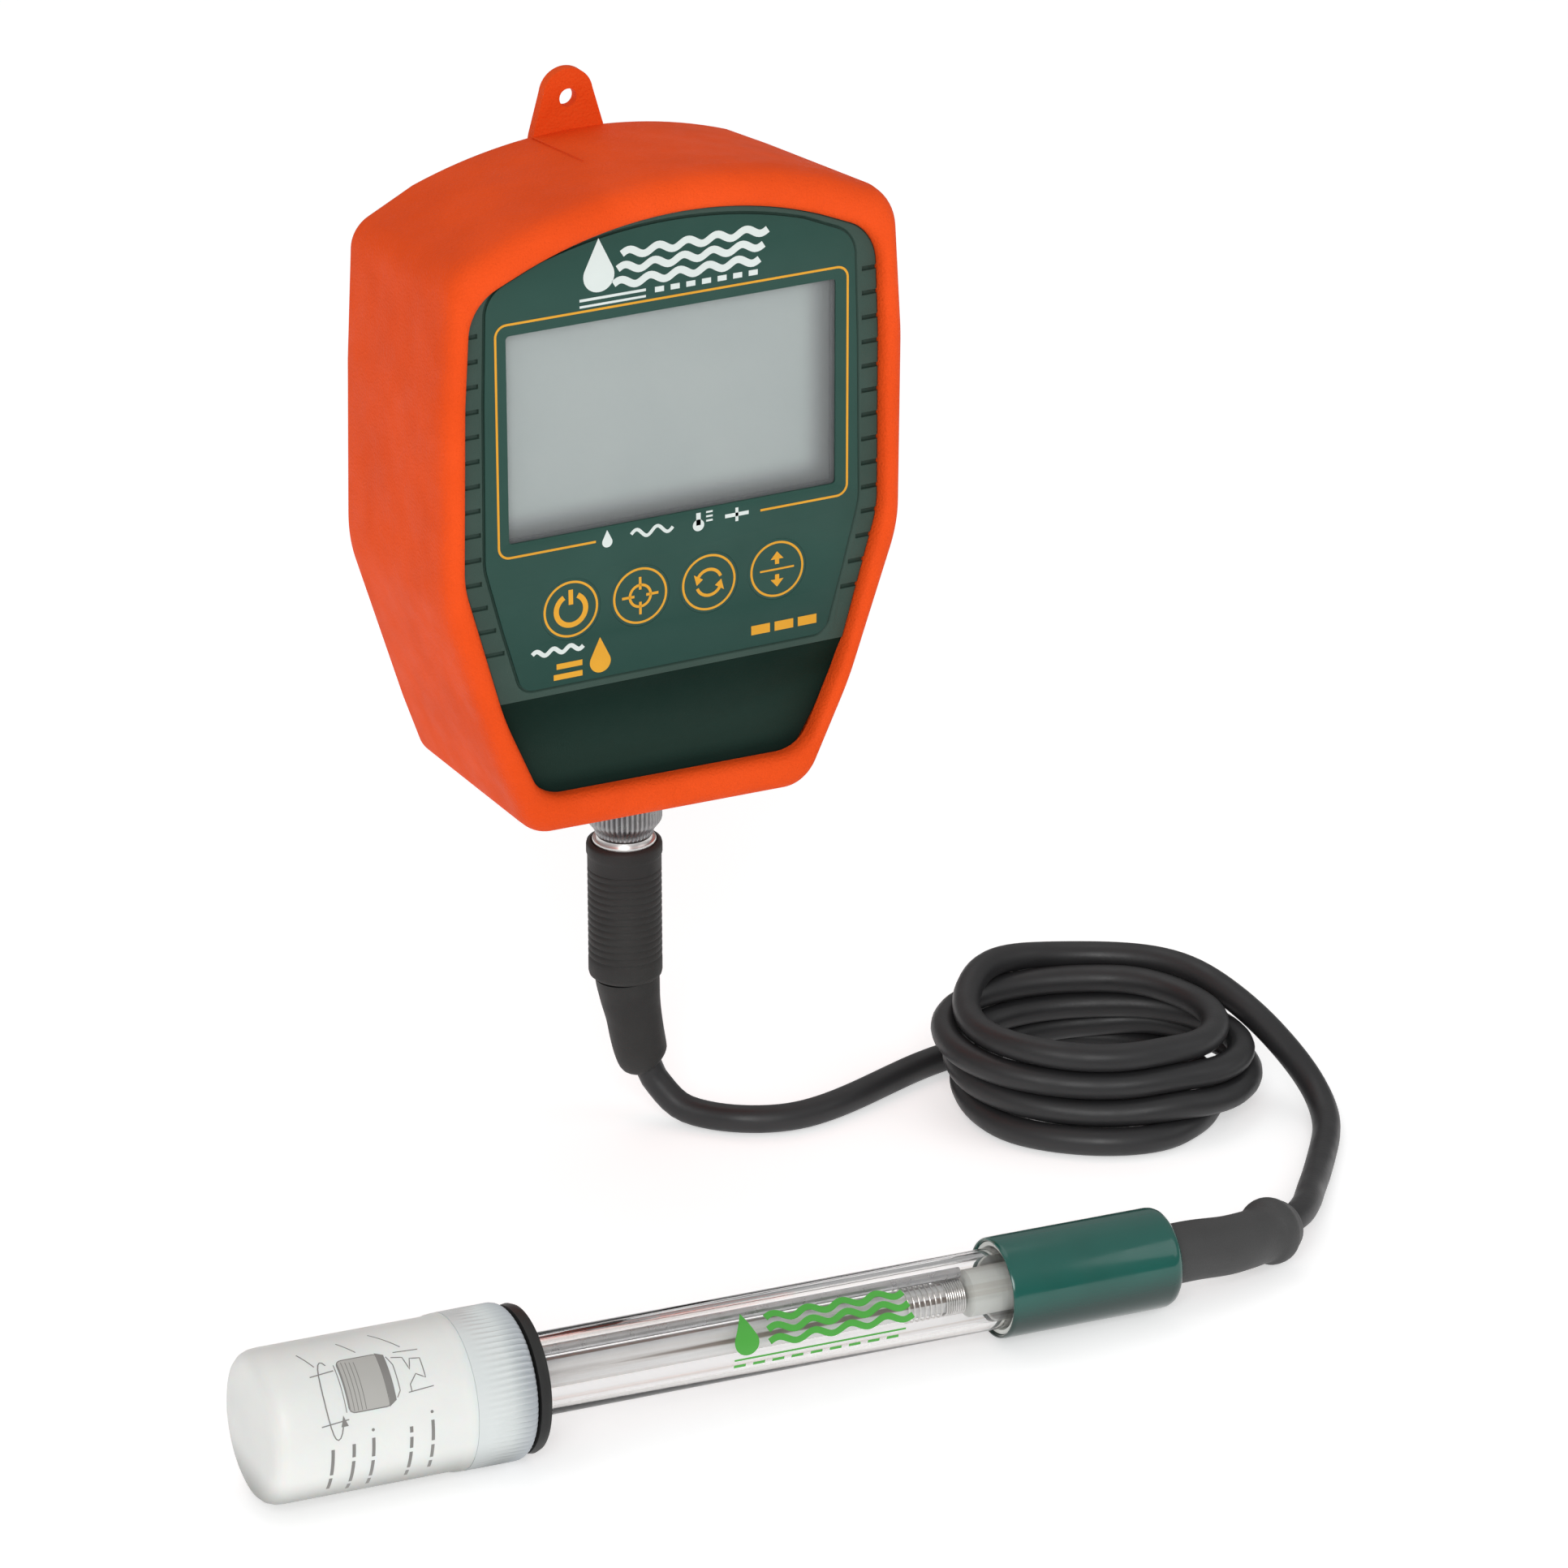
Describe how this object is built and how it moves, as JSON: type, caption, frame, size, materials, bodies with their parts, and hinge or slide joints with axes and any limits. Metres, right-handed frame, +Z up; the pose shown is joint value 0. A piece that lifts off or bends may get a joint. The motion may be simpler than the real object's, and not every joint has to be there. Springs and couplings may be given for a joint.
{
  "type": "water quality probe",
  "caption": "Palm-size pH meter in a rubber boot with a display and keys, a screw-on plug, a coiled cable, and a clear electrode in its storage bottle.",
  "frame": {"origin": "centre of the hole in the boot's hanging tab", "axes": "+X to the right of someone facing the display, +Y away from them towards the meter's back, +Z up"},
  "size_m": [0.203, 0.1173, 0.1714],
  "materials": {
    "orange_rubber": "fine matte grain",
    "case_green": "fine texture",
    "face_green": "satin printed film",
    "key_green": "satin printed film",
    "clear_plastic": "clear, polished",
    "clear_glass": "clear",
    "dark_plastic": "matte",
    "display_grey": "satin, reflective display",
    "board_green": "solder mask",
    "chip_black": "moulded",
    "steel": "plain",
    "nickel": "satin nickel plate",
    "black_rubber": "matte",
    "cable_black": "satin jacket",
    "sleeve_teal": "gloss",
    "cream": "potting resin and ceramic",
    "silver_wire": "plain",
    "milky": "milky, translucent",
    "battery_wrap": "printed wrap"
  },
  "bodies": {
    "meter": {"battery_1": "battery_wrap", "battery_2": "battery_wrap", "battery_contact_1": "nickel", "battery_contact_2": "nickel", "battery_spring_1": "nickel", "battery_spring_2": "nickel", "battery_tray": "dark_plastic", "cable_coil": "cable_black", "cable_meter_lead": "cable_black", "cable_probe_lead": "cable_black", "case_screw_1": "steel", "case_screw_2": "steel", "case_screw_3": "steel", "case_screw_4": "steel", "case_seal": "black_rubber", "display_bezel": "dark_plastic", "display_connector": "chip_black", "display_glass": "display_grey", "display_window": "clear_plastic", "faceplate": "face_green", "front_case": "case_green", "glass_bulb": "clear_glass", "inner_stem": "clear_glass", "main_board": "board_green", "plug_barrel": "nickel", "plug_grip": "black_rubber", "plug_insert": "chip_black", "plug_strain_relief": "black_rubber", "potting_plug": "cream", "probe_sleeve": "sleeve_teal", "probe_strain_relief": "black_rubber", "probe_tube": "clear_plastic", "processor": "chip_black", "rear_case": "case_green", "reference_junction": "cream", "reference_wire": "silver_wire", "rubber_boot": "orange_rubber", "sleeve_bush": "cream", "socket_insert": "chip_black", "socket_nut": "nickel", "socket_seal": "black_rubber", "socket_shell": "nickel", "switch_calibrate": "dark_plastic", "switch_mode": "dark_plastic", "switch_power": "dark_plastic", "switch_store": "dark_plastic", "temperature_sensor": "steel"},
    "key_power": {"key_power": "key_green"},
    "key_calibrate": {"key_calibrate": "key_green"},
    "key_mode": {"key_mode": "key_green"},
    "key_store": {"key_store": "key_green"},
    "coupling_nut": {"coupling_nut": "nickel"},
    "storage_bottle": {"storage_bottle": "milky"},
    "bottle_seal": {"bottle_seal": "black_rubber"},
    "locking_ring": {"locking_ring": "milky"},
    "battery_door": {"battery_door": "case_green", "battery_door_seal": "black_rubber", "battery_door_screw_1": "steel", "battery_door_screw_2": "steel"}
  },
  "joints": [
    {"name": "power_press", "type": "slide", "parent": "meter", "child": "key_power", "axis": [0, 1, 0], "range_m": [0, 0.0005], "stiffness_N_per_m": 400},
    {"name": "calibrate_press", "type": "slide", "parent": "meter", "child": "key_calibrate", "axis": [0, 1, 0], "range_m": [0, 0.0005], "stiffness_N_per_m": 400},
    {"name": "mode_press", "type": "slide", "parent": "meter", "child": "key_mode", "axis": [0, 1, 0], "range_m": [0, 0.0005], "stiffness_N_per_m": 400},
    {"name": "store_press", "type": "slide", "parent": "meter", "child": "key_store", "axis": [0, 1, 0], "range_m": [0, 0.0005], "stiffness_N_per_m": 400},
    {"name": "coupling_nut_turn", "type": "hinge", "parent": "meter", "child": "coupling_nut", "pos_m": [0, -0.0177, -0.11], "axis": [0, 0, 1], "continuous": true},
    {"name": "bottle_pull", "type": "slide", "parent": "meter", "child": "storage_bottle", "axis": [-0.9986, 0.0394, 0.0346], "range_m": [0, 0.06]},
    {"name": "seal_shift", "type": "slide", "parent": "storage_bottle", "child": "bottle_seal", "axis": [0.9986, -0.0394, -0.0346], "range_m": [0, 0.001]},
    {"name": "locking_ring_turn", "type": "hinge", "parent": "bottle_seal", "child": "locking_ring", "pos_m": [-0.06591, -0.1043, -0.15442], "axis": [0.9986, -0.0394, -0.0346], "range_deg": [0, 180]},
    {"name": "battery_door_lift", "type": "slide", "parent": "meter", "child": "battery_door", "axis": [0, 1, 0], "range_m": [0, 0.02]}
  ],
  "couplings": [
    {"joint": "seal_shift", "follows": "locking_ring_turn", "m_per_rad": 0.000318}
  ]
}
